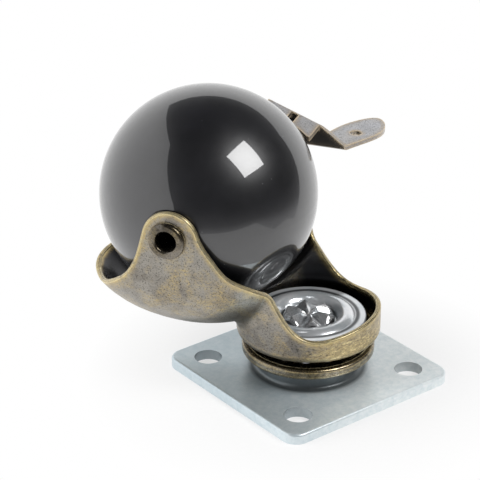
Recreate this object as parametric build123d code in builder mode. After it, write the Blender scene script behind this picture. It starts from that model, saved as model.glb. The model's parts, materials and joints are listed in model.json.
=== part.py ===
from build123d import *
from math import cos, hypot, radians, sin, sqrt, tan
import os

os.makedirs("parts", exist_ok=True)

# Overall sizes in millimetres. The castor stands on its mounting face, ball up, and is 54 high.
ball_diameter = 40.0
plate_side = 38.0
trail = 19.5
hood_heading = -57.8

# Top plate
plate_thickness = 2.0
plate_corner_radius = 3.0
plate_edge_round = 0.5
bolt_spacing = 26.5
bolt_hole_diameter = 5.2
boss_radius = 9.6
boss_rise = 3.3
boss_bend = 0.8

# Swivel head
kingpin_radius = 3.7
kingpin_foot_radius = 5.9
kingpin_foot_thickness = 1.2
star_radius = 4.85
star_height = 1.0
star_grooves = 6
star_groove_depth = 0.75
race_radius = 12.3
race_thickness = 1.0
race_lip_width = 1.1
race_lip_height = 2.0
lower_ball_diameter = 3.175
lower_track_radius = 8.8
lower_ball_count = 15
upper_ball_diameter = 2.4
upper_track_radius = 7.15
upper_ball_count = 14
track_depth = 0.25
washer_radius = 10.7
washer_thickness = 0.85
washer_floor_gap = 0.45
washer_step = 1.2

# Hood, pressed from one sheet: a bowl for the ball and a lower cup for the swivel
sheet = 1.0
cup_radius = 13.3
cup_corner = 1.4
cup_wall_height = 4.75
bowl_rise = 3.455
bowl_corner = 15.5
nose_reach = 25.4
bowl_setback = 0.5
bowl_side_gap = 0.7
ear_tip_radius = 5.3
ear_flare = 17
ear_blend = 8.0
neck_blend = 2.0
ball_floor_gap = 0.5
nose_drop = 15.2
nose_lip_setback = 6.0

# Rim of the hood seen along the axle, given from the axle: forward, then up
front_rim = ((6.6, -5.2), (9.0, -8.8), (12.4, -11.7))
back_rim = ((-8.0, -3.0), (-10.4, -6.6), (-13.4, -9.2), (-16.0, -11.9), (-18.6, -15.9), (-21.4, -19.1))
cup_lip_share = 0.55
cup_rim_slope = 0.2
rim_round = 0.3

# Axle and ball
axle_radius = 2.6
axle_bore_radius = 1.9
axle_curl_radius = 3.4
axle_curl_height = 1.0
sleeve_wall = 0.8
hub_face_radius = 5.2
hub_washer_radius = 4.9
hub_washer_thickness = 0.3

# Brake lever beside the far ear. Places on it are given from the axle: back, then up.
lever_sheet = 0.9
lever_bend = 0.7
lever_crease = 0.4
pivot_back = 2.6
pivot_drop = 7.0
pivot_radius = 1.6
lever_lug_radius = 3.4
web_tip_back = 18.8
limb_front = ((3.4, 6.0), (4.8, 0.6))
limb_root_back = 9.4
limb_half_width = 2.3
shoe_ends = ((3.6, 10.0), (13.8, 6.2))
shoe_slot = (8.3, 9.7)
shoe_reach = 6.0
shoe_gap = 2.2
pedal_lift = 1.6
pedal_start = 12.6
pedal_outline = ((14.2, 6.4), (17.6, 13.0), (20.9, 15.3), (23.5, 11.3), (21.9, 5.4))
pedal_hole_diameter = 2.2
pedal_hole = (19.0, 7.0)
rivet_head_radius = 2.3
rivet_head_height = 0.9
rivet_inner_head = 0.5
spacer_thickness = 1.8
spring_washer_radius = 2.7
spring_washer_thickness = 0.4

# Clearances
running_gap = 0.05
seat_gap = 0.02
side_play = 0.05
hub_play = 0.1

# Places that follow from the sizes above
ball_radius = ball_diameter / 2
plate_top = plate_thickness + boss_rise
race_top = plate_top + race_thickness
lower_ball_height = race_top - track_depth + seat_gap + lower_ball_diameter / 2
cup_base = lower_ball_height + lower_ball_diameter / 2 + running_gap - track_depth
cup_floor = cup_base + sheet
cup_rim = cup_base + cup_wall_height
upper_ball_height = cup_floor - track_depth + running_gap + upper_ball_diameter / 2
washer_seat_top = cup_floor + washer_floor_gap + washer_thickness
washer_flange_top = washer_seat_top + washer_step
star_top = washer_seat_top + star_height
bowl_base = cup_base + bowl_rise
axle_height = bowl_base + sheet + ball_floor_gap + ball_radius
bowl_radius = ball_radius + bowl_side_gap + sheet
bowl_center = trail - bowl_setback
nose_rim = axle_height - nose_drop
hub_flat = sqrt(ball_radius**2 - hub_face_radius**2)
ear_inner = hub_flat + hub_washer_thickness + 2 * hub_play
ear_half_width = ear_inner + sheet
sleeve_radius = axle_radius + running_gap + sleeve_wall
lever_inner = ear_half_width + spacer_thickness + side_play
form_top = axle_height + 2 * ear_tip_radius

# The hood points along heading, and the near side is the one without the brake.
heading = Vector(cos(radians(hood_heading)), sin(radians(hood_heading)), 0)
near_side = Vector(-heading.Y, heading.X, 0)
deck = Plane(origin=(0, 0, 0), x_dir=heading, z_dir=(0, 0, 1))
side = Plane(origin=(0, 0, 0), x_dir=heading, z_dir=near_side * -1)
axle_point = heading * trail + Vector(0, 0, axle_height)
pivot_point = axle_point - heading * pivot_back - Vector(0, 0, pivot_drop)


def across(point, distance):
    """Plane square to the axle line through point, its +Z towards the near side."""
    return Plane(origin=point + near_side * distance, x_dir=heading * -1, z_dir=near_side)


def round_edges(part, radius):
    """Circular edges of one radius on a part."""
    return part.edges().filter_by(GeomType.CIRCLE).filter_by(lambda e: abs(e.radius - radius) < 0.01)


with BuildPart() as top_plate:
    with BuildSketch():
        RectangleRounded(plate_side, plate_side, plate_corner_radius)
    extrude(amount=plate_thickness)
    fillet(top_plate.faces().sort_by(Axis.Z)[-1].edges(), radius=plate_edge_round)
    with BuildSketch(Plane.XY.offset(plate_thickness)):
        Circle(boss_radius)
    extrude(amount=boss_rise)
    fillet(round_edges(top_plate, boss_radius), radius=boss_bend)
    with BuildSketch():
        Circle(boss_radius - plate_thickness)
    extrude(amount=boss_rise, mode=Mode.SUBTRACT)
    with Locations((0, 0, plate_top)):
        Hole(kingpin_radius + seat_gap)
    with Locations((0, 0, plate_thickness)):
        with GridLocations(bolt_spacing, bolt_spacing, 2, 2):
            Hole(bolt_hole_diameter / 2)
top_plate.part.label = "top_plate"

# Riveted kingpin, its upper end staked into a star of facets
with BuildPart() as kingpin:
    with BuildSketch(Plane.XZ):
        with BuildLine():
            Polyline(
                (0, boss_rise - kingpin_foot_thickness),
                (kingpin_foot_radius, boss_rise - kingpin_foot_thickness),
                (kingpin_foot_radius, boss_rise),
                (kingpin_radius, boss_rise),
                (kingpin_radius, washer_seat_top),
                (star_radius, washer_seat_top),
                (star_radius, star_top),
                (0, star_top),
                close=True,
            )
        make_face()
    revolve(axis=Axis.Z)
    groove_reach = star_radius + 0.5
    groove_half = groove_reach * tan(radians(180 / star_grooves))
    for groove in range(star_grooves):
        turn = radians(360 / star_grooves * (groove + 0.5))
        outward = Plane(
            origin=(0, 0, star_top),
            x_dir=(-sin(turn), cos(turn), 0),
            z_dir=(cos(turn), sin(turn), 0),
        )
        for reach, share in ((0.1, 0.1 / groove_reach), (groove_reach, 1)):
            with BuildSketch(outward.offset(reach)):
                Polygon(
                    (-groove_half * share, 0),
                    (groove_half * share, 0),
                    (0, -star_groove_depth * share),
                    align=None,
                )
        loft(mode=Mode.SUBTRACT)
kingpin.part.label = "kingpin"

with BuildPart() as lower_race:
    with BuildSketch(Plane.XZ):
        with Locations((kingpin_radius + seat_gap, plate_top)):
            Rectangle(race_radius - kingpin_radius - seat_gap, race_thickness, align=Align.MIN)
        with Locations((race_radius - race_lip_width, plate_top)):
            Rectangle(race_lip_width, race_lip_height, align=Align.MIN)
        with Locations((lower_track_radius, lower_ball_height)):
            Circle(lower_ball_diameter / 2 + seat_gap, mode=Mode.SUBTRACT)
    revolve(axis=Axis.Z)
    rim_edges = round_edges(lower_race, race_radius)
    fillet(rim_edges.sort_by(Axis.Z)[-1], radius=race_lip_width * 0.45)
    fillet(rim_edges.sort_by(Axis.Z)[0], radius=race_thickness * 0.6)
lower_race.part.label = "lower_race"

with BuildPart() as lower_bearing_balls:
    with Locations((0, 0, lower_ball_height)):
        with PolarLocations(lower_track_radius, lower_ball_count):
            Sphere(lower_ball_diameter / 2)
lower_bearing_balls.part.label = "lower_bearing_balls"

with BuildPart() as upper_bearing_balls:
    with Locations((0, 0, upper_ball_height)):
        with PolarLocations(upper_track_radius, upper_ball_count):
            Sphere(upper_ball_diameter / 2)
upper_bearing_balls.part.label = "upper_bearing_balls"

# Washer that holds the hood down, arched over the upper balls
with BuildPart() as upper_race_washer:
    arch_inner = upper_ball_diameter / 2 + seat_gap
    flange_base = washer_flange_top - washer_thickness
    seat_base = washer_seat_top - washer_thickness
    with BuildSketch(Plane.XZ):
        with Locations((upper_track_radius, flange_base)):
            Rectangle(washer_radius - upper_track_radius, washer_thickness, align=Align.MIN)
        with Locations((kingpin_radius + seat_gap, seat_base)):
            Rectangle(
                upper_track_radius - kingpin_radius - seat_gap, washer_thickness, align=Align.MIN
            )
        with Locations((upper_track_radius, upper_ball_height)):
            Circle(arch_inner + washer_thickness)
            Circle(arch_inner, mode=Mode.SUBTRACT)
        with Locations((upper_track_radius, upper_ball_height)):
            Rectangle(
                2 * arch_inner, washer_radius, align=(Align.CENTER, Align.MAX), mode=Mode.SUBTRACT
            )
        with Locations((upper_track_radius, seat_base)):
            Rectangle(
                washer_radius, washer_radius, align=(Align.MAX, Align.MAX), mode=Mode.SUBTRACT
            )
        with Locations((upper_track_radius, flange_base)):
            Rectangle(
                washer_radius, washer_radius, align=(Align.MIN, Align.MAX), mode=Mode.SUBTRACT
            )
    revolve(axis=Axis.Z)
    fillet(round_edges(upper_race_washer, washer_radius), radius=0.3)
upper_race_washer.part.label = "upper_race_washer"


def on_neck(edge, radius):
    """True for an edge where the cup's wall meets the bowl, above the bowl's floor."""
    middle = deck.to_local_coords(edge.position_at(0.5))
    on_cup = abs(hypot(middle.X, middle.Y) - radius) < 0.05
    return on_cup and middle.X > 0 and bowl_base - 0.5 < middle.Z < form_top - 0.5


def on_flank(edge, half_width):
    """True for an edge where a flat ear meets the round of the bowl."""
    places = [deck.to_local_coords(edge.position_at(share)) for share in (0.1, 0.5, 0.9)]
    return all(abs(abs(place.Y) - half_width) < 0.01 for place in places) and places[1].Z < form_top - 0.5


def hood_form(inset):
    """Solid outside form of the hood with every wall moved inwards by inset."""
    half_width = ear_half_width - inset
    plan_radius = bowl_radius - inset
    cup_wall = cup_radius - inset
    with BuildPart() as form:
        with BuildSketch(deck.offset(bowl_base + inset)):
            with BuildLine():
                EllipticalCenterArc(
                    (bowl_center, 0), nose_reach - inset, plan_radius, start_angle=-90, arc_size=180
                )
                CenterArc((bowl_center, 0), plan_radius, start_angle=90, arc_size=180)
            make_face()
        extrude(amount=form_top - bowl_base)
        fillet(form.faces().sort_by(Axis.Z)[0].edges(), radius=bowl_corner - inset)
        with BuildSketch(side):
            with Locations((bowl_center, axle_height)):
                Rectangle(4 * nose_reach, 4 * nose_reach)
        extrude(amount=half_width, both=True, mode=Mode.INTERSECT)
        fillet(form.edges().filter_by(lambda e: on_flank(e, half_width)), radius=ear_blend - inset)
        with BuildSketch(deck.offset(cup_base + inset)):
            Circle(cup_wall)
        extrude(amount=form_top - cup_base)
        fillet(form.edges().filter_by(lambda e: on_neck(e, cup_wall)), radius=neck_blend + inset)
        cup_bottom = form.edges().filter_by(GeomType.CIRCLE).group_by(Axis.Z)[0]
        fillet(cup_bottom, radius=cup_corner - inset)
    return form.part


def on_rim(edge, outline):
    """True for an edge that runs along the hood's cut rim, seen square to its mid-plane."""
    places = [side.to_local_coords(edge.position_at(share)) for share in (0.2, 0.5, 0.8)]
    flat = [Vector(place.X, place.Y, 0) for place in places]
    near = all(min(curve.distance_to(place) for curve in outline) < 0.01 for place in flat)
    return near and edge.length > 1.5 * sheet


hood_outside = hood_form(0)
hood_inside = hood_form(sheet)

with BuildPart() as swivel_hood:
    add(hood_outside)
    add(hood_inside, mode=Mode.SUBTRACT)
    ear_top = (bowl_center, axle_height + ear_tip_radius)
    flare = (sin(radians(ear_flare)), cos(radians(ear_flare)))
    ear_front = (bowl_center + ear_tip_radius * flare[1], axle_height + ear_tip_radius * flare[0])
    ear_back = (bowl_center - ear_tip_radius * flare[1], axle_height + ear_tip_radius * flare[0])
    cup_lip = (-cup_radius * cup_lip_share, cup_rim)
    nose_lip = (bowl_center + nose_reach - nose_lip_setback, nose_rim)
    front_points = [(trail + forward, axle_height + up) for forward, up in front_rim]
    back_points = [(trail + forward, axle_height + up) for forward, up in back_rim]
    with BuildSketch(side):
        with BuildLine() as rim_line:
            ThreePointArc(ear_front, ear_top, ear_back)
            Spline(ear_back, *back_points, cup_lip, tangents=((-flare[0], -flare[1]), (-1, cup_rim_slope)))
            Polyline(
                cup_lip,
                (-2 * cup_radius, cup_rim + cup_rim_slope * cup_radius * (2 - cup_lip_share)),
                (-2 * cup_radius, 0),
                (3 * bowl_radius, 0),
                (3 * bowl_radius, nose_rim),
                nose_lip,
            )
            Spline(
                nose_lip, *reversed(front_points), ear_front, tangents=((-1, 0.1), (-flare[0], flare[1]))
            )
        make_face()
    extrude(amount=2 * bowl_radius, both=True, mode=Mode.INTERSECT)
    fillet(swivel_hood.edges().filter_by(lambda e: on_rim(e, rim_line.edges())), radius=rim_round)
    with BuildSketch(deck):
        Circle(kingpin_radius + running_gap)
    extrude(amount=axle_height, mode=Mode.SUBTRACT)
    with BuildSketch(Plane.XZ):
        with Locations((lower_track_radius, lower_ball_height)):
            Circle(lower_ball_diameter / 2 + running_gap)
        with Locations((upper_track_radius, upper_ball_height)):
            Circle(upper_ball_diameter / 2 + running_gap)
    revolve(axis=Axis.Z, mode=Mode.SUBTRACT)
    with Locations(across(axle_point, 0)):
        Hole(axle_radius + seat_gap)
    with BuildSketch(across(pivot_point, -ear_half_width)):
        Circle(pivot_radius + seat_gap)
    extrude(amount=sheet, both=True, mode=Mode.SUBTRACT)
swivel_hood.part.label = "swivel_hood"

# Tubular axle rivet, rolled over outside both ears
with BuildPart() as axle_rivet:
    with BuildSketch(across(axle_point, 0)):
        Circle(axle_radius)
    extrude(amount=ear_half_width + axle_curl_height, both=True)
    for end in (-1, 1):
        with BuildSketch(across(axle_point, end * ear_half_width)):
            Circle(axle_curl_radius)
        extrude(amount=end * axle_curl_height)
    curls = round_edges(axle_rivet, axle_curl_radius).sort_by(Axis(axle_point, near_side))
    fillet([curls[0], curls[-1]], radius=axle_curl_height * 0.6)
    with Locations(across(axle_point, 0)):
        Hole(axle_bore_radius)
    fillet(round_edges(axle_rivet, axle_bore_radius), radius=axle_curl_height * 0.5)
axle_rivet.part.label = "axle_rivet"

with BuildPart() as axle_sleeve:
    with BuildSketch(across(axle_point, 0)):
        Circle(sleeve_radius)
        Circle(axle_radius + running_gap, mode=Mode.SUBTRACT)
    extrude(amount=ear_inner - side_play, both=True)
axle_sleeve.part.label = "axle_sleeve"


def hub_washer(end, name):
    """Thin washer between the ball and one ear; end is 1 at the near ear and -1 at the far."""
    with BuildPart() as washer:
        with BuildSketch(across(axle_point, end * (hub_flat + hub_play))):
            Circle(hub_washer_radius)
            Circle(sleeve_radius + running_gap, mode=Mode.SUBTRACT)
        extrude(amount=end * hub_washer_thickness)
    washer.part.label = name
    return washer.part


near_hub_washer = hub_washer(1, "near_hub_washer")
far_hub_washer = hub_washer(-1, "far_hub_washer")

with BuildPart() as wheel_ball:
    with Locations(across(axle_point, 0)):
        Sphere(ball_radius)
    with BuildSketch(across(axle_point, 0)):
        Circle(ball_radius)
    extrude(amount=hub_flat, both=True, mode=Mode.INTERSECT)
    with Locations(across(axle_point, 0)):
        Hole(sleeve_radius + running_gap)
wheel_ball.part.label = "wheel_ball"

# Brake lever: an upright web with two shoes bent in towards the ball and a pedal bent out
web_plane = Plane(origin=axle_point - near_side * lever_inner, x_dir=heading * -1, z_dir=near_side)
pedal_plane = Plane(
    origin=axle_point - near_side * lever_inner + Vector(0, 0, pedal_lift),
    x_dir=heading * -1,
    z_dir=(0, 0, 1),
)
shoe_high, shoe_low = shoe_ends


def shoe_top(back):
    """Height of the sloping top edge of the web at a place along it."""
    fall = (shoe_low[1] - shoe_high[1]) / (shoe_low[0] - shoe_high[0])
    return shoe_high[1] + fall * (back - shoe_high[0])


with BuildPart() as brake_lever:
    with BuildSketch(web_plane):
        with BuildLine():
            web_tip = (web_tip_back, pedal_lift)
            Polyline(web_tip, (web_tip_back, pedal_lift + lever_sheet), shoe_low, shoe_high, limb_front[0])
            ThreePointArc(*limb_front, (pivot_back - limb_half_width, -pivot_drop))
            Polyline(
                (pivot_back - limb_half_width, -pivot_drop),
                (pivot_back + limb_half_width, -pivot_drop),
                (limb_root_back, pedal_lift),
                web_tip,
            )
        make_face()
        with Locations((pivot_back, -pivot_drop)):
            Circle(lever_lug_radius)
            Circle(pivot_radius + running_gap, mode=Mode.SUBTRACT)
    extrude(amount=-lever_sheet)
    with BuildSketch(web_plane.offset(-lever_sheet)):
        for start, end in ((shoe_high[0], shoe_slot[0]), (shoe_slot[1], shoe_low[0])):
            tops = [(back, shoe_top(back)) for back in (start, end)]
            Polygon(*tops, *[(back, up - lever_sheet) for back, up in reversed(tops)], align=None)
    extrude(amount=lever_sheet + shoe_reach)
    with Locations(across(axle_point, 0)):
        Sphere(ball_radius + shoe_gap, mode=Mode.SUBTRACT)
    with BuildSketch(pedal_plane):
        with BuildLine():
            Line((web_tip_back, 0), (pedal_start, 0))
            Spline((pedal_start, 0), *pedal_outline, (web_tip_back, 0))
        make_face()
        with Locations(pedal_hole):
            Circle(pedal_hole_diameter / 2, mode=Mode.SUBTRACT)
    extrude(amount=lever_sheet)
    shoe_middle = (shoe_high[0] + shoe_low[0]) / 2
    pedal_middle = (pedal_start + web_tip_back) / 2
    for place, radius in (
        ((shoe_middle, shoe_top(shoe_middle), -lever_sheet), lever_bend),
        ((pedal_middle, pedal_lift, 0), lever_bend),
        ((shoe_high[0] + 1, shoe_top(shoe_high[0] + 1) - lever_sheet, 0), lever_crease),
        ((shoe_low[0] - 1, shoe_top(shoe_low[0] - 1) - lever_sheet, 0), lever_crease),
        ((pedal_middle, pedal_lift + lever_sheet, -lever_sheet), lever_crease),
    ):
        bend = brake_lever.edges().sort_by_distance(web_plane.from_local_coords(Vector(*place)))[0]
        fillet(bend, radius=radius)
brake_lever.part.label = "brake_lever"

with BuildPart() as brake_rivet:
    outer_seat = lever_inner + lever_sheet + spring_washer_thickness + 2 * side_play
    with BuildSketch(across(pivot_point, -ear_inner + rivet_inner_head)):
        Circle(rivet_head_radius)
    extrude(amount=-rivet_inner_head)
    with BuildSketch(across(pivot_point, -ear_inner)):
        Circle(pivot_radius)
    extrude(amount=-(outer_seat - ear_inner))
    with BuildSketch(across(pivot_point, -outer_seat)):
        Circle(rivet_head_radius)
    extrude(amount=-rivet_head_height)
    heads = round_edges(brake_rivet, rivet_head_radius).sort_by(Axis(pivot_point, near_side))
    fillet(heads[0], radius=rivet_head_height * 0.8)
brake_rivet.part.label = "brake_rivet"

with BuildPart() as brake_spacer:
    with BuildSketch(across(pivot_point, -ear_half_width)):
        Circle(rivet_head_radius)
        Circle(pivot_radius + seat_gap, mode=Mode.SUBTRACT)
    extrude(amount=-spacer_thickness)
brake_spacer.part.label = "brake_spacer"

with BuildPart() as brake_spring_washer:
    with BuildSketch(across(pivot_point, -(lever_inner + lever_sheet + side_play))):
        Circle(spring_washer_radius)
        Circle(pivot_radius + seat_gap, mode=Mode.SUBTRACT)
    extrude(amount=-spring_washer_thickness)
brake_spring_washer.part.label = "brake_spring_washer"

for piece in (
    top_plate.part,
    kingpin.part,
    lower_race.part,
    lower_bearing_balls.part,
    upper_bearing_balls.part,
    upper_race_washer.part,
    swivel_hood.part,
    axle_rivet.part,
    axle_sleeve.part,
    near_hub_washer,
    far_hub_washer,
    wheel_ball.part,
    brake_lever.part,
    brake_rivet.part,
    brake_spacer.part,
    brake_spring_washer.part,
):
    export_step(piece, f"parts/{piece.label}.step")
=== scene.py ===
import json
from math import cos, pi, radians, sin

import bmesh
import bpy
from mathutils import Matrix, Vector


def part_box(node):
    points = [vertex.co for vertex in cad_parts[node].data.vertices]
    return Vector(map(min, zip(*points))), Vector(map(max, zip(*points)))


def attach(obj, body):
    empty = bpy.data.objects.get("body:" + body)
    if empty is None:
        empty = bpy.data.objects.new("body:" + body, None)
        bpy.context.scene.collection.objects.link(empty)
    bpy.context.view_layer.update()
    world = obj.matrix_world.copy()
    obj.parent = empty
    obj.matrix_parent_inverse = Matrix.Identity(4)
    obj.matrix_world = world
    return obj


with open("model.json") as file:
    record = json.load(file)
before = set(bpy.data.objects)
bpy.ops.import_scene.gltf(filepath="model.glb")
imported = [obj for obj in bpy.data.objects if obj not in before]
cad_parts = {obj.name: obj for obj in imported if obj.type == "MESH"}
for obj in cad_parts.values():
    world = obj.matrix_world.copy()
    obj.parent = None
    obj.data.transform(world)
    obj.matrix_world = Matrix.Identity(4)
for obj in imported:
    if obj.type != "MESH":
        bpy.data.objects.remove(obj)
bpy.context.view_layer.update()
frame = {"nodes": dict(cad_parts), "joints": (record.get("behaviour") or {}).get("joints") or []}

mm = 0.001
print("frame loaded")

# The ball turns about this point, and the studio is set round it
ballCentre = next(Vector(joint["pos_m"]) for joint in frame["joints"] if joint["name"] == "wheel_spin")


def hexColour(code):  # sRGB hex to the linear values that Blender's sockets take
    channels = [int(code[i:i + 2], 16) / 255 for i in (1, 3, 5)]
    return [c / 12.92 if c <= 0.04045 else ((c + 0.055) / 1.055) ** 2.4 for c in channels] + [1]


def perMm(size):  # texture scale for a feature of that size in millimetres
    return 1 / (size * mm)


# Gives the new node's output socket. An input is a value, a hex colour or another node's output,
# and a stop is a ramp's place with its grey or hex colour.
def addNode(tree, kind, inputs=None, stops=None, out=0, **settings):
    node = tree.nodes.new("ShaderNode" + kind)
    for name, value in settings.items():
        setattr(node, name, value)
    if stops:
        elements = node.color_ramp.elements
        while len(elements) < len(stops):
            elements.new(0.5)
        for element, (place, tone) in zip(elements, stops):
            element.position = place
            element.color = hexColour(tone) if isinstance(tone, str) else (tone, tone, tone, 1)
    for key, value in (inputs or {}).items():
        if isinstance(value, bpy.types.NodeSocket):
            tree.links.new(value, node.inputs[key])
        else:
            node.inputs[key].default_value = hexColour(value) if isinstance(value, str) else value
    return node.outputs[out]


def newMaterial(name, **sockets):  # sockets are the shader's own, with _ for each space
    material = bpy.data.materials.new(name)
    material.use_nodes = True
    tree = material.node_tree
    shader = tree.nodes["Principled BSDF"]
    for key, value in sockets.items():
        shader.inputs[key.replace("_", " ")].default_value = value
    return material, tree, shader


def wornEdge(tree, radiusMm):  # 0 on open faces, rising to 1 along the edges of the sheet
    rounded = addNode(tree, "Bevel", {"Radius": radiusMm * mm}, samples=8)
    flat = addNode(tree, "NewGeometry", out="Normal")
    turn = addNode(tree, "VectorMath", {0: rounded, 1: flat}, out="Value", operation="DOT_PRODUCT")
    return addNode(tree, "Math", {0: 1.0, 1: turn}, operation="SUBTRACT")


# Antique bronze plated steel, tumbled and lacquered: satin olive-brown in the open, brassy flecks and
# scratches where the tumbling went through, a bright rim that is partly rubbed brass and partly painted
# highlight, black in the hollows that is partly the plating's own and partly painted shade, painted light
# and shade round the cup, and painted shade on the faces towards the ball
hoodFinish = {
    "rubbed": "#a19d96",
    "smoky": "#86817a",
    # dim is painted shade round the cup, bright serves the painted glints and the edge line, recess is partly
    # painted shade
    "dim": "#4c4c4c",
    "shade": "#241f18",
    "hazeAndSheen": "#bba97f",
    "brassy": "#cdb57c",
    "bright": "#fff2bc",
    "recess": "#24221e",
    "ballSideShade": "#353537",
    "recessMm": 5.0,
    "edgeMm": 0.6,
    "borderTimes": 3,  # how many edgeMm the border is wide
    "cupTopMm": 18,  # heights above the mounting face
    "cupFootMm": 12,
    "litSideDeg": 105,  # round the swivel axis: the cup's lit side, where sheen is painted
    "cupShadeShare": 0.42,
    "glintShare": 0.8,
    "hazeAndSheenShare": 0.75,
    "fleckShare": 0.75,
    "edgeShare": 0.85,
    "metallic": 0.92,
    "lineMetallic": 0.15,
    "roughness": (0.26, 0.46),
    "insideRoughness": 0.22,
}
# The same plating on the small turned and stamped pieces, where more of the black is left
fittingFinish = dict(hoodFinish, rubbed="#9b968c", smoky="#56524b", bright="#fff0c4", edgeMm=0.32,
                     cupShadeShare=0.2, glintShare=0.3, hazeAndSheenShare=0.1, fleckShare=0.25, edgeShare=0.8,
                     roughness=(0.16, 0.36))
# The rolled axle is darker still
axleFinish = dict(fittingFinish, rubbed="#837e78", smoky="#4a4641", edgeMm=0.2, edgeShare=0.15)
# The lever's plating is hardly tumbled: neutral grey where it mirrors the white room
leverFinish = dict(hoodFinish, rubbed="#c3c4c8", smoky="#b0b1b4", brassy="#b6a794", bright="#d0bd9f",
                   ballSideShade="#6e6b66", hazeAndSheenShare=0.0, fleckShare=0.12, edgeShare=0.7, roughness=(0.2, 0.4))

# Patterns that all the bronze pieces share. A shift in metres keeps one pattern from following another,
# and the streaks are stretched, because they run level round the pressing.
even, level = (1, 1, 1), (0.4, 0.4, 1.2)
unmoved, patchShift = (0, 0, 0), (0.31, 0.22, -0.31)
fleckShift, speckShift = (0.12, 0.08, -0.12), (0.66, 0.46, -0.66)
bronzePatterns = {
    "clouds": {"mm": 5.5, "detail": 5.0, "rough": 0.6, "warp": 0.4, "stretch": even, "shift": unmoved},
    "patches": {"mm": 6.05, "detail": 4.0, "rough": 0.6, "warp": 0.6, "stretch": even, "shift": patchShift},
    "flecks": {"mm": 0.3, "detail": 5.0, "rough": 0.75, "warp": 1.4, "stretch": even, "shift": fleckShift},
    "streaks": {"mm": 0.4, "detail": 5.0, "rough": 0.7, "warp": 0.6, "stretch": level, "shift": unmoved},
    "specks": {"mm": 0.27, "detail": 4.0, "rough": 0.7, "warp": 0.0, "stretch": even, "shift": speckShift},
    "wear": {"mm": 0.9, "detail": 5.0, "rough": 0.7, "warp": 0.0, "stretch": even, "shift": speckShift},
    "grain": {"mm": 0.3, "detail": 4.0, "rough": 0.65, "warp": 0.0, "stretch": even, "shift": fleckShift},
}
bronzeMasks = {  # the pattern that each mask is cut from, and the ramp that cuts it
    "patch": ("patches", ((0.46, 0.08), (0.6, 1.0))),
    "fleck": ("flecks", ((0.5, 0.0), (0.6, 1.0))),
    "scratch": ("streaks", ((0.51, 0.0), (0.64, 1.0))),
    "glint": ("streaks", ((0.54, 0.0), (0.66, 1.0))),
    "darkStreak": ("streaks", ((0.36, 0.6), (0.46, 0.0))),
    "darkSpeck": ("specks", ((0.36, 0.75), (0.46, 0.0))),
    "borderWear": ("wear", ((0.35, 0.3), (0.55, 1.0))),
    "lineWear": ("wear", ((0.36, 0.3), (0.5, 1.0))),
}


def cupShares(tree, place, look):  # how far a point is down on the cup, and how far on the cup's lit side
    height = addNode(tree, "SeparateXYZ", {0: place}, out="Z")
    low = addNode(tree, "MapRange", {"Value": height, "From Min": look["cupTopMm"] * mm,
                                     "From Max": look["cupFootMm"] * mm})
    turn = radians(look["litSideDeg"])
    flat = addNode(tree, "VectorMath", {0: place, 1: (1, 1, 0)}, operation="MULTIPLY")
    flat = addNode(tree, "VectorMath", {0: flat}, operation="NORMALIZE")
    side = addNode(tree, "VectorMath", {0: flat, 1: (cos(turn), sin(turn), 0)}, out="Value",
                   operation="DOT_PRODUCT")
    side = addNode(tree, "MapRange", {"Value": side, "From Min": 0.45, "From Max": 0.8})
    return low, addNode(tree, "Math", {0: low, 1: side}, operation="MULTIPLY")


def facingBall(tree, place):  # 1 on the faces that look towards the ball
    toBall = addNode(tree, "VectorMath", {0: tuple(ballCentre), 1: place}, operation="SUBTRACT")
    toBall = addNode(tree, "VectorMath", {0: toBall}, operation="NORMALIZE")
    normal = addNode(tree, "TexCoord", out="Normal")  # turns with the hood, as place does
    facing = addNode(tree, "VectorMath", {0: normal, 1: toBall}, out="Value", operation="DOT_PRODUCT")
    return addNode(tree, "ValToRGB", {"Fac": facing}, stops=((0.02, 0.0), (0.2, 1.0)))


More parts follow.
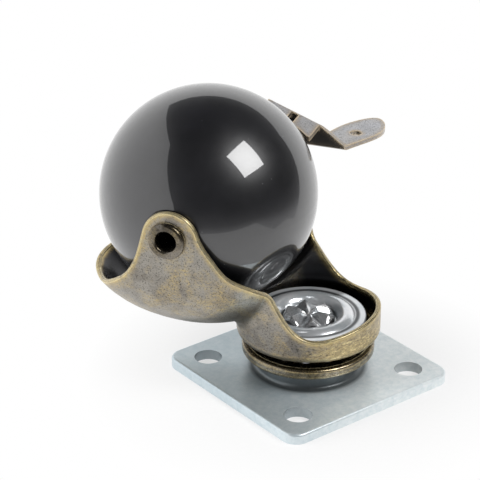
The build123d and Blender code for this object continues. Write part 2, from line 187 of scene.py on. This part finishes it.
def antiqueBronzePlate(name, look, shadedInside=False):
    material, tree, shader = newMaterial(name)
    place = addNode(tree, "TexCoord", out="Object")
    patterns = {}
    for pattern, setting in bronzePatterns.items():
        where = addNode(tree, "Mapping", {"Vector": place, "Location": setting["shift"],
                                          "Scale": setting["stretch"]})
        patterns[pattern] = addNode(tree, "TexNoise", {
            "Vector": where, "Scale": perMm(setting["mm"]), "Detail": setting["detail"],
            "Roughness": setting["rough"], "Distortion": setting["warp"]})
    masks = {}
    for mask, (pattern, stops) in bronzeMasks.items():
        masks[mask] = addNode(tree, "ValToRGB", {"Fac": patterns[pattern]}, stops=stops)

    # Painted light on the cup: a sheen on its lit side, and painted shade round the rest of it
    low, litSide = cupShares(tree, place, look)
    dim = addNode(tree, "Math", {0: low, 1: litSide}, operation="SUBTRACT")
    dim = addNode(tree, "Math", {0: dim, 1: look["cupShadeShare"]}, operation="MULTIPLY")
    # A brassy haze in patches, with flecks and short scratches gathered in it; the haze is stronger on the
    # cup's lit side, as a painted sheen
    patch = addNode(tree, "Math", {0: masks["patch"], 1: litSide}, operation="MAXIMUM")
    hazeAndSheen = addNode(tree, "MapRange", {"Value": litSide, "To Min": 0.12, "To Max": look["hazeAndSheenShare"]})
    hazeAndSheen = addNode(tree, "Math", {0: patch, 1: hazeAndSheen}, operation="MULTIPLY")
    fleck = addNode(tree, "Math", {0: masks["fleck"], 1: masks["scratch"]}, operation="MAXIMUM")
    fleck = addNode(tree, "Math", {0: fleck, 1: patch}, operation="MULTIPLY")
    fleck = addNode(tree, "Math", {0: fleck, 1: look["fleckShare"]}, operation="MULTIPLY")
    # Painted glints, highlights on the cup's lit side, and dark streaks, stronger on the cup
    glint = addNode(tree, "Math", {0: masks["glint"], 1: litSide}, operation="MULTIPLY")
    glint = addNode(tree, "Math", {0: glint, 1: look["glintShare"]}, operation="MULTIPLY")
    streak = addNode(tree, "MapRange", {"Value": low, "To Min": 0.35, "To Max": 1.0})
    streak = addNode(tree, "Math", {0: masks["darkStreak"], 1: streak}, operation="MULTIPLY")
    # Black in the hollows: partly the plating's own black, partly painted shade
    hollow = addNode(tree, "AmbientOcclusion", {"Distance": look["recessMm"] * mm}, out="AO", samples=8)
    hollow = addNode(tree, "ValToRGB", {"Fac": hollow}, stops=((0.2, 0.7), (0.66, 0.0)))
    # A broad brassy border and a narrow bright line along every edge, broken by the same wear; the line is
    # partly rubbed brass and partly a painted highlight
    border = wornEdge(tree, look["edgeMm"] * look["borderTimes"])
    border = addNode(tree, "ValToRGB", {"Fac": border}, stops=((0.002, 0.0), (0.03, 1.0)))
    border = addNode(tree, "Math", {0: border, 1: masks["borderWear"]}, operation="MULTIPLY")
    border = addNode(tree, "Math", {0: border, 1: look["edgeShare"]}, operation="MULTIPLY")
    line = wornEdge(tree, look["edgeMm"])
    line = addNode(tree, "ValToRGB", {"Fac": line}, stops=((0.006, 0.0), (0.035, 1.0)))
    line = addNode(tree, "Math", {0: line, 1: masks["lineWear"]}, operation="MULTIPLY")
    lowest, highest = look["roughness"]
    roughness = addNode(tree, "MapRange", {"Value": patterns["grain"], "To Min": lowest, "To Max": highest})

    # Each layer lies over the ones before it
    layers = [(hazeAndSheen, "hazeAndSheen"), (fleck, "brassy"), (glint, "bright"), (dim, "dim"), (streak, "shade"),
              (masks["darkSpeck"], "shade")]
    if shadedInside:  # painted shade on the faces towards the ball, which are glossier too
        ballSideShade = facingBall(tree, place)
        layers.append((ballSideShade, "ballSideShade"))
        roughness = addNode(tree, "Mix", {0: ballSideShade, 2: roughness, 3: look["insideRoughness"]})
    layers += [(hollow, "recess"), (border, "brassy"), (line, "bright")]
    colour = addNode(tree, "ValToRGB", {"Fac": patterns["clouds"]},
                     stops=((0.36, look["smoky"]), (0.56, look["rubbed"])))
    for share, tone in layers:
        colour = addNode(tree, "Mix", {0: share, 6: colour, 7: look[tone]}, out=2, data_type="RGBA")
    tree.links.new(colour, shader.inputs["Base Color"])
    metal = addNode(tree, "MapRange", {"Value": line, "To Min": look["metallic"],
                                       "To Max": look["lineMetallic"]})
    tree.links.new(metal, shader.inputs["Metallic"])
    tree.links.new(roughness, shader.inputs["Roughness"])
    bump = addNode(tree, "Bump", {"Height": patterns["grain"], "Strength": 0.3, "Distance": 0.02 * mm})
    tree.links.new(bump, shader.inputs["Normal"])
    return material


bronzeHood = antiqueBronzePlate("antiqueBronzePlatedHood", hoodFinish, shadedInside=True)
bronzeFittings = antiqueBronzePlate("antiqueBronzePlatedFittings", fittingFinish)
bronzeAxle = antiqueBronzePlate("darkBronzePlatedAxle", axleFinish)
bronzeLever = antiqueBronzePlate("darkBronzePlatedLever", leverFinish, shadedInside=True)

# Bright zinc plated sheet, clear passivated: pale blue-grey with a fine frosted bloom, and painted shade round
# the boss, on the walls and towards one side
zincSheet = {
    "pale": "#f8feff",
    "grey": "#e3eef1",
    "shadedBlue": "#94acba",
    "shadeGrey": "#3f4446",
    "frostMm": 1.2,
    "bloomMm": 0.35,
    "bossMm": 10.5,  # radii from the swivel axis: the ring's painted shadow is full as far as the boss
    "ringShadowMm": 11.6,  # and thinning out to here
    "shadeFadeMm": 13.0,  # with a faint painted shade to here
    "edgeMm": 17,  # the plate's outer edge lies beyond this, measured square
    "ringShadowShare": 0.85,
    "shadeFadeShare": 0.25,
    "wallShadeShare": 0.5,
    "shadedSide": (0.787, -0.616, 0),
    "shadedSideReachMm": 15,
    "shadedSideShare": 0.45,
    "shadedSideMetallic": 0.8,
    "litSideMetallic": 0.2,
    "roughness": (0.24, 0.46),
}


def zincPlatedSheet(name, look):
    material, tree, shader = newMaterial(name)
    place = addNode(tree, "TexCoord", out="Object")
    frost = addNode(tree, "TexNoise", {"Vector": place, "Scale": perMm(look["frostMm"]), "Detail": 6.0,
                                       "Roughness": 0.7, "Distortion": 0.3})
    colour = addNode(tree, "ValToRGB", {"Fac": frost}, stops=((0.35, look["grey"]), (0.65, look["pale"])))
    # Painted shade: darker and bluer towards one side, where the plate also mirrors more
    side = addNode(tree, "VectorMath", {0: place, 1: look["shadedSide"]}, out="Value", operation="DOT_PRODUCT")
    side = addNode(tree, "MapRange", {"Value": side, "From Min": -look["shadedSideReachMm"] * mm,
                                      "From Max": look["shadedSideReachMm"] * mm})
    shadedBlue = addNode(tree, "Math", {0: side, 1: look["shadedSideShare"]}, operation="MULTIPLY")
    colour = addNode(tree, "Mix", {0: shadedBlue, 6: colour, 7: look["shadedBlue"]}, out=2, data_type="RGBA")
    metal = addNode(tree, "MapRange", {"Value": side, "To Min": look["litSideMetallic"],
                                       "To Max": look["shadedSideMetallic"]})
    tree.links.new(metal, shader.inputs["Metallic"])
    # Painted shadow of the race ring on the pressed boss and the plate round it
    flat = addNode(tree, "VectorMath", {0: place, 1: (1, 1, 0)}, operation="MULTIPLY")
    reach = addNode(tree, "VectorMath", {0: flat}, out="Value", operation="LENGTH")
    paintedShade = addNode(tree, "MapRange", {"Value": reach, "From Min": look["shadeFadeMm"] * mm,
                                       "From Max": look["bossMm"] * mm, "To Max": look["shadeFadeShare"]},
                    interpolation_type="SMOOTHSTEP")
    ringShadow = addNode(tree, "MapRange", {"Value": reach, "From Min": look["ringShadowMm"] * mm,
                                        "From Max": look["bossMm"] * mm, "To Max": look["ringShadowShare"]})
    paintedShade = addNode(tree, "Math", {0: paintedShade, 1: ringShadow}, operation="MAXIMUM")
    # Painted shade on the walls of the boss and the screw holes too: they lean, and lie inside the outer edge
    normal = addNode(tree, "TexCoord", out="Normal")
    lean = addNode(tree, "SeparateXYZ", {0: normal}, out="Z")
    lean = addNode(tree, "Math", {0: lean}, operation="ABSOLUTE")
    wall = addNode(tree, "MapRange", {"Value": lean, "From Min": 0.75, "From Max": 0.4,
                                      "To Max": look["wallShadeShare"]})
    spread = addNode(tree, "VectorMath", {0: flat}, operation="ABSOLUTE")
    across = addNode(tree, "SeparateXYZ", {0: spread}, out="X")
    along = addNode(tree, "SeparateXYZ", {0: spread}, out="Y")
    square = addNode(tree, "Math", {0: across, 1: along}, operation="MAXIMUM")
    within = addNode(tree, "Math", {0: square, 1: look["edgeMm"] * mm}, operation="LESS_THAN")
    wall = addNode(tree, "Math", {0: wall, 1: within}, operation="MULTIPLY")
    paintedShade = addNode(tree, "Math", {0: paintedShade, 1: wall}, operation="MAXIMUM")
    colour = addNode(tree, "Mix", {0: paintedShade, 6: colour, 7: look["shadeGrey"]}, out=2, data_type="RGBA")
    tree.links.new(colour, shader.inputs["Base Color"])
    bloom = addNode(tree, "TexNoise", {"Vector": place, "Scale": perMm(look["bloomMm"]), "Detail": 4.0,
                                       "Roughness": 0.7})
    lowest, highest = look["roughness"]
    roughness = addNode(tree, "MapRange", {"Value": bloom, "To Min": lowest, "To Max": highest})
    tree.links.new(roughness, shader.inputs["Roughness"])
    bump = addNode(tree, "Bump", {"Height": bloom, "Strength": 0.2, "Distance": 0.015 * mm})
    tree.links.new(bump, shader.inputs["Normal"])
    return material


zincPlate = zincPlatedSheet("zincPlatedSheetSteel", zincSheet)

# Bright zinc plated pressing, tumbled: a slightly milky mirror, with faint rings from the press
brightZinc = {
    "pale": "#fbfdff",
    "grey": "#e2e9ed",
    "grooveShade": "#1d2124",
    "grooveMm": 9.1,  # radius of the groove where shade is painted
    "grooveWidthMm": 0.6,
    "grooveBlackMm": 0.18,
    "grooveShadeShare": 0.9,
    "recessMm": 0.2,
    "cloudMm": 3.0,
    "ringMm": 0.25,
    "metallic": 0.52,
    "roughness": (0.13, 0.23),
}
# The kingpin's staked end is a clearer mirror on the petals, with painted shade between them and round them
stakedZinc = dict(brightZinc, pale="#ffffff", grey="#e4eaee", grooveMm=5.0, recessMm=0.7, metallic=0.75,
                  roughness=(0.12, 0.22))


def zincPlatedPressing(name, look):
    material, tree, shader = newMaterial(name, Metallic=look["metallic"])
    place = addNode(tree, "TexCoord", out="Object")
    flat = addNode(tree, "VectorMath", {0: place, 1: (1, 1, 0)}, operation="MULTIPLY")
    radius = addNode(tree, "VectorMath", {0: flat}, out="Value", operation="LENGTH")
    ringPlace = addNode(tree, "CombineXYZ", {"X": radius})
    rings = addNode(tree, "TexNoise", {"Vector": ringPlace, "Scale": perMm(look["ringMm"]), "Detail": 3.0,
                                       "Roughness": 0.6})
    clouds = addNode(tree, "TexNoise", {"Vector": place, "Scale": perMm(look["cloudMm"]), "Detail": 5.0,
                                        "Roughness": 0.6})
    colour = addNode(tree, "ValToRGB", {"Fac": clouds}, stops=((0.35, look["grey"]), (0.6, look["pale"])))
    # Painted shade in the groove round the foot of the form, and in every narrow hollow
    groove = addNode(tree, "Math", {0: radius, 1: look["grooveMm"] * mm}, operation="SUBTRACT")
    groove = addNode(tree, "Math", {0: groove}, operation="ABSOLUTE")
    groove = addNode(tree, "MapRange", {"Value": groove, "From Min": look["grooveWidthMm"] * mm,
                                        "From Max": look["grooveBlackMm"] * mm,
                                        "To Max": look["grooveShadeShare"]})
    hollow = addNode(tree, "AmbientOcclusion", {"Distance": look["recessMm"] * mm}, out="AO", samples=8)
    hollow = addNode(tree, "ValToRGB", {"Fac": hollow}, stops=((0.45, look["grooveShadeShare"]), (0.9, 0.0)))
    groove = addNode(tree, "Math", {0: groove, 1: hollow}, operation="MAXIMUM")
    colour = addNode(tree, "Mix", {0: groove, 6: colour, 7: look["grooveShade"]}, out=2, data_type="RGBA")
    tree.links.new(colour, shader.inputs["Base Color"])
    lowest, highest = look["roughness"]
    roughness = addNode(tree, "MapRange", {"Value": clouds, "To Min": lowest, "To Max": highest})
    tree.links.new(roughness, shader.inputs["Roughness"])
    bump = addNode(tree, "Bump", {"Height": rings, "Strength": 0.12, "Distance": 0.02 * mm})
    tree.links.new(bump, shader.inputs["Normal"])
    return material


zincPressing = zincPlatedPressing("zincPlatedPressing", brightZinc)
zincStaking = zincPlatedPressing("zincPlatedStaking", stakedZinc)

# Polished bearing steel: a dark mirror with a faint bloom
darkMirror = {"dark": "#7d7f83", "pale": "#a4a6aa", "bloomMm": 1.5, "roughness": 0.12}


def polishedSteel(name, look):
    material, tree, shader = newMaterial(name, Metallic=1.0, Roughness=look["roughness"])
    place = addNode(tree, "TexCoord", out="Object")
    bloom = addNode(tree, "TexNoise", {"Vector": place, "Scale": perMm(look["bloomMm"]), "Detail": 4.0})
    colour = addNode(tree, "ValToRGB", {"Fac": bloom}, stops=((0.3, look["dark"]), (0.7, look["pale"])))
    tree.links.new(colour, shader.inputs["Base Color"])
    return material


bearingSteel = polishedSteel("polishedBearingSteel", darkMirror)

# Moulded black nylon, polished: a sharp skin over a softer body, with a few pale nicks and faint smears
blackNylon = {
    "body": "#131316",
    "worn": "#1e1e22",
    "dust": "#8a8a8c",
    "cloudMm": 9.0,
    "nickMm": 1.6,
    "nickPatchMm": 2.5,
    "smearMm": 3.0,
    "peelMm": 1.8,
    "shift": (0.77, 0.54, -0.77),
    "roughness": (0.26, 0.46),
}


def mouldedNylon(name, look):
    material, tree, shader = newMaterial(name, IOR=1.55, Specular_IOR_Level=0.55, Coat_Weight=1.0,
                                         Coat_Roughness=0.03, Coat_IOR=1.7)
    place = addNode(tree, "TexCoord", out="Object")
    shifted = addNode(tree, "VectorMath", {0: place, 1: look["shift"]}, operation="ADD")
    clouds = addNode(tree, "TexNoise", {"Vector": place, "Scale": perMm(look["cloudMm"]), "Detail": 5.0,
                                        "Roughness": 0.6})
    colour = addNode(tree, "ValToRGB", {"Fac": clouds}, stops=((0.35, look["body"]), (0.7, look["worn"])))
    # Nicks at the middle of the cells, kept in rare patches only
    nick = addNode(tree, "TexVoronoi", {"Vector": place, "Scale": perMm(look["nickMm"])})
    nick = addNode(tree, "ValToRGB", {"Fac": nick}, stops=((0.05, 0.5), (0.09, 0.0)))
    rare = addNode(tree, "TexNoise", {"Vector": shifted, "Scale": perMm(look["nickPatchMm"]), "Detail": 2.0})
    rare = addNode(tree, "ValToRGB", {"Fac": rare}, stops=((0.6, 0.0), (0.66, 1.0)))
    nick = addNode(tree, "Math", {0: nick, 1: rare}, operation="MULTIPLY")
    colour = addNode(tree, "Mix", {0: nick, 6: colour, 7: look["dust"]}, out=2, data_type="RGBA")
    tree.links.new(colour, shader.inputs["Base Color"])
    smear = addNode(tree, "TexNoise", {"Vector": shifted, "Scale": perMm(look["smearMm"]), "Detail": 6.0,
                                       "Roughness": 0.75, "Distortion": 0.5})
    lowest, highest = look["roughness"]
    roughness = addNode(tree, "MapRange", {"Value": smear, "To Min": lowest, "To Max": highest})
    tree.links.new(roughness, shader.inputs["Roughness"])
    peel = addNode(tree, "TexNoise", {"Vector": place, "Scale": perMm(look["peelMm"]), "Detail": 2.0,
                                      "Roughness": 0.4})
    bump = addNode(tree, "Bump", {"Height": peel, "Strength": 0.05, "Distance": 0.02 * mm})
    tree.links.new(bump, shader.inputs["Normal"])
    return material


nylonBall = mouldedNylon("mouldedBlackNylon", blackNylon)
print("materials made")

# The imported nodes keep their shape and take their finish
finishes = {
    "top_plate": zincPlate,
    "kingpin": zincStaking,
    "upper_race_washer": zincPressing,
    "lower_race": bronzeFittings,
    "swivel_hood": bronzeHood,
    "axle_rivet": bronzeAxle,
    "brake_lever": bronzeLever,
    "brake_rivet": bronzeFittings,
    "axle_sleeve": bearingSteel,
    "near_hub_washer": bearingSteel,
    "far_hub_washer": bearingSteel,
    "brake_spacer": bearingSteel,
    "brake_spring_washer": bearingSteel,
    "lower_bearing_balls": bearingSteel,
    "upper_bearing_balls": bearingSteel,
    "wheel_ball": nylonBall,
}
for nodeName, material in finishes.items():
    for holder in frame["nodes"][nodeName].material_slots:
        holder.material = material
print("nodes finished")


def linkForm(name, form, material):  # makes an object of a bmesh and frees it
    mesh = bpy.data.meshes.new(name)
    form.to_mesh(mesh)
    form.free()
    mesh.materials.append(material)
    made = bpy.data.objects.new(name, mesh)
    bpy.context.scene.collection.objects.link(made)
    return made


# The staked end of the kingpin in millimetres: soft petals punched up between grooves round a plain core.
# It fits over the plain star below it, whose ridges are the petals' middles.
stakedStar = {
    "petals": 6,
    "radius": 4.86,
    "petalEnd": 4.62,
    "endSlope": 0.5,
    "core": 0.5,
    "coreSlope": 1.6,
    "rise": 0.95,
    "narrowing": 1.15,  # above 1 the petals end short of the grooves' middles
    "fullness": 0.8,  # below 1 their backs are full
    "grooveShare": 0.14,  # depth of a groove for each millimetre from the centre
    "lift": 0.03,
    "skirt": 0.6,
    "rings": 18,
    "steps": 24,
}


def starHeight(look, reach, share):  # share runs from 0 to 1 between two ridges
    fromRidge = 1 - abs(2 * share - 1)
    petal = max(0.0, 1 - fromRidge * look["narrowing"]) ** look["fullness"]
    fromCore = min(1, max(0, (reach - look["core"]) / look["coreSlope"]))
    fromEnd = min(1, max(0, (look["petalEnd"] - reach) / look["endSlope"]))
    groove = look["grooveShare"] * reach * fromRidge
    return look["lift"] - groove + look["rise"] * petal * fromCore * fromEnd


def makeStakedStar(name, look, material):
    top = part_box("kingpin")[1][2]
    form = bmesh.new()
    around = look["petals"] * look["steps"]
    rows = []
    for ring in range(1, look["rings"] + 1):
        reach = look["radius"] * ring / look["rings"]
        row = []
        for step in range(around):
            turn = 2 * pi * step / around
            height = starHeight(look, reach, step % look["steps"] / look["steps"])
            row.append(form.verts.new((reach * cos(turn) * mm, reach * sin(turn) * mm, top + height * mm)))
        rows.append(row)
    centre = form.verts.new((0, 0, top + look["lift"] * mm))
    skirt = [form.verts.new((v.co.x, v.co.y, v.co.z - look["skirt"] * mm)) for v in rows[-1]]
    for step in range(around):
        after = (step + 1) % around
        form.faces.new((centre, rows[0][step], rows[0][after]))
        for inner, outer in zip(rows, rows[1:] + [skirt]):
            form.faces.new((inner[step], outer[step], outer[after], inner[after]))
    form.faces.new(list(reversed(skirt)))
    bmesh.ops.recalc_face_normals(form, faces=form.faces)
    star = linkForm(name, form, material)
    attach(star, "base")


makeStakedStar("stakedStar", stakedStar, zincStaking)
print("star made")

# Where the photographer stands, with a long lens
view = {
    "target": Vector((-2.02, -23.08, 17.91)) * mm,
    "back": Vector((0.5515, 0.7044, 0.4468)),
    "distance": 400.1 * mm,
    "lensMm": 156.63,
    "sensorMm": 36,
}
cameraData = bpy.data.cameras.new("camera")
cameraData.lens = view["lensMm"]
cameraData.sensor_width = view["sensorMm"]
camera = bpy.data.objects.new("camera", cameraData)
camera.location = view["target"] + view["back"].normalized() * view["distance"]
camera.rotation_euler = (-view["back"]).to_track_quat("-Z", "Y").to_euler()
bpy.context.scene.collection.objects.link(camera)
bpy.context.scene.camera = camera
cameraTurn = camera.rotation_euler.to_matrix()


def studioPoint(right, above, towards):  # a place given from the ball as the photographer sees it, in metres
    return ballCentre + cameraTurn @ Vector((right, above, towards))


# Direction from the ball as the photographer sees it, distance and size in metres, power in watts.
# The ball mirrors the key softbox. The left one only lights.
softboxes = {
    "keySoftbox": {"direction": (0.594, 0.519, 0.613), "distance": 0.6, "size": (0.29, 0.29), "power": 2.3,
                   "glossy": True},
    "leftSoftbox": {"direction": (-0.9, 0.35, 0.35), "distance": 0.8, "size": (0.7, 0.9), "power": 6.0,
                    "glossy": False},
}
for name, setting in softboxes.items():
    lamp = bpy.data.lights.new(name, "AREA")
    lamp.shape = "RECTANGLE"
    lamp.size, lamp.size_y = setting["size"]
    lamp.energy = setting["power"]
    box = bpy.data.objects.new(name, lamp)
    box.location = studioPoint(*(part * setting["distance"] for part in setting["direction"]))
    box.rotation_euler = (ballCentre - box.location).to_track_quat("-Z", "Y").to_euler()
    box.visible_camera = False
    box.visible_glossy = setting["glossy"]
    bpy.context.scene.collection.objects.link(box)


def stagePanel(name, corners, material, seen=True):
    form = bmesh.new()
    form.faces.new([form.verts.new(corner) for corner in corners])
    panel = linkForm(name, form, material)
    panel.visible_camera = seen


# White paper floor: it fades to the white surround away from the castor and keeps the shadow
whitePaper = {
    "dim": "#f2f2f2",
    "white": "#f7f7f7",
    "grainMm": 0.8,
    "roughness": 0.9,
    "glowShare": 0.5,  # how much of the surround's white shows under the castor
    "fadeFromMm": 12,
    "fadeToMm": 42,
    "half": 70 * mm,
    "drop": -0.05 * mm,  # just under the mounting face
}


def paperSheet(name, look):
    material, tree, shader = newMaterial(name, Roughness=look["roughness"])
    place = addNode(tree, "TexCoord", out="Object")
    grain = addNode(tree, "TexNoise", {"Vector": place, "Scale": perMm(look["grainMm"]), "Detail": 4.0})
    colour = addNode(tree, "ValToRGB", {"Fac": grain}, stops=((0.3, look["dim"]), (0.7, look["white"])))
    tree.links.new(colour, shader.inputs["Base Color"])
    reach = addNode(tree, "VectorMath", {0: place}, out="Value", operation="LENGTH")
    fade = addNode(tree, "MapRange", {"Value": reach, "From Min": look["fadeFromMm"] * mm,
                                      "From Max": look["fadeToMm"] * mm, "To Min": look["glowShare"],
                                      "To Max": 1.0})
    glow = addNode(tree, "Emission", {"Strength": 1.0})
    surface = addNode(tree, "MixShader", {0: fade, 1: shader.outputs[0], 2: glow})
    tree.links.new(surface, tree.nodes["Material Output"].inputs["Surface"])
    return material


half, drop = whitePaper["half"], whitePaper["drop"]
stagePanel("paperFloor", [(-half, -half, drop), (half, -half, drop), (half, half, drop), (-half, half, drop)],
           paperSheet("whitePaperFloor", whitePaper))

# Dark felt behind the photographer, overhead and at the right: the dark that the ball mirrors. It is
# paler lower down, where it catches the light from the floor.
feltLook = {
    "tones": ((0.0, "#dcdcde"), (0.2, "#7c7c7e"), (0.5, "#3a3a3c"), (1.0, "#343436")),
    "palestAt": -0.34,  # metres from the mounting face
    "darkestAt": 0.6,
    "roughness": 0.95,
}
feltCorners = {  # metres to the right, above and towards the photographer, from the ball
    "lowLeft": (-0.42, -0.78, 0.8),
    "lowRight": (1.2, -0.78, 0.8),
    "highLeft": (-1.05, 1.3, 0.8),
    "highRight": (1.2, 1.3, 0.8),
    "backLeft": (-0.45, 1.0, -0.55),
    "backRight": (1.2, 1.0, -0.55),
    "sideLow": (1.2, -0.6, -0.35),
}
feltPanels = {
    "darkCurtain": ("lowLeft", "lowRight", "highRight", "highLeft"),
    "darkCeiling": ("highLeft", "highRight", "backRight", "backLeft"),
    "darkWing": ("lowRight", "sideLow", "backRight", "highRight"),
}


def hangingFelt(name, look):
    material, tree, shader = newMaterial(name, Roughness=look["roughness"])
    place = addNode(tree, "TexCoord", out="Object")
    height = addNode(tree, "SeparateXYZ", {0: place}, out="Z")
    paling = addNode(tree, "MapRange", {"Value": height, "From Min": look["palestAt"],
                                        "From Max": look["darkestAt"]})
    tree.links.new(addNode(tree, "ValToRGB", {"Fac": paling}, stops=look["tones"]), shader.inputs["Base Color"])
    return material


darkFelt = hangingFelt("darkFelt", feltLook)
for name, corners in feltPanels.items():
    stagePanel(name, [studioPoint(*feltCorners[corner]) for corner in corners], darkFelt, seen=False)

# White surround: full white where it is seen or mirrored, a little less as light
whiteStudio = {"colour": "#ffffff", "lightLevel": 0.95, "seenLevel": 1.0}
world = bpy.data.worlds.new("whiteStudio")
bpy.context.scene.world = world
world.use_nodes = True
worldTree = world.node_tree
background = worldTree.nodes["Background"]
seen = 0.0
for ray in ("Is Camera Ray", "Is Glossy Ray", "Is Transmission Ray"):
    kind = addNode(worldTree, "LightPath", out=ray)
    seen = addNode(worldTree, "Math", {0: seen, 1: kind}, operation="MAXIMUM")
strength = addNode(worldTree, "MapRange", {"Value": seen, "To Min": whiteStudio["lightLevel"],
                                           "To Max": whiteStudio["seenLevel"]})
worldTree.links.new(strength, background.inputs["Strength"])
background.inputs["Color"].default_value = hexColour(whiteStudio["colour"])

bpy.context.scene.view_settings.view_transform = "Standard"
print("studio set")
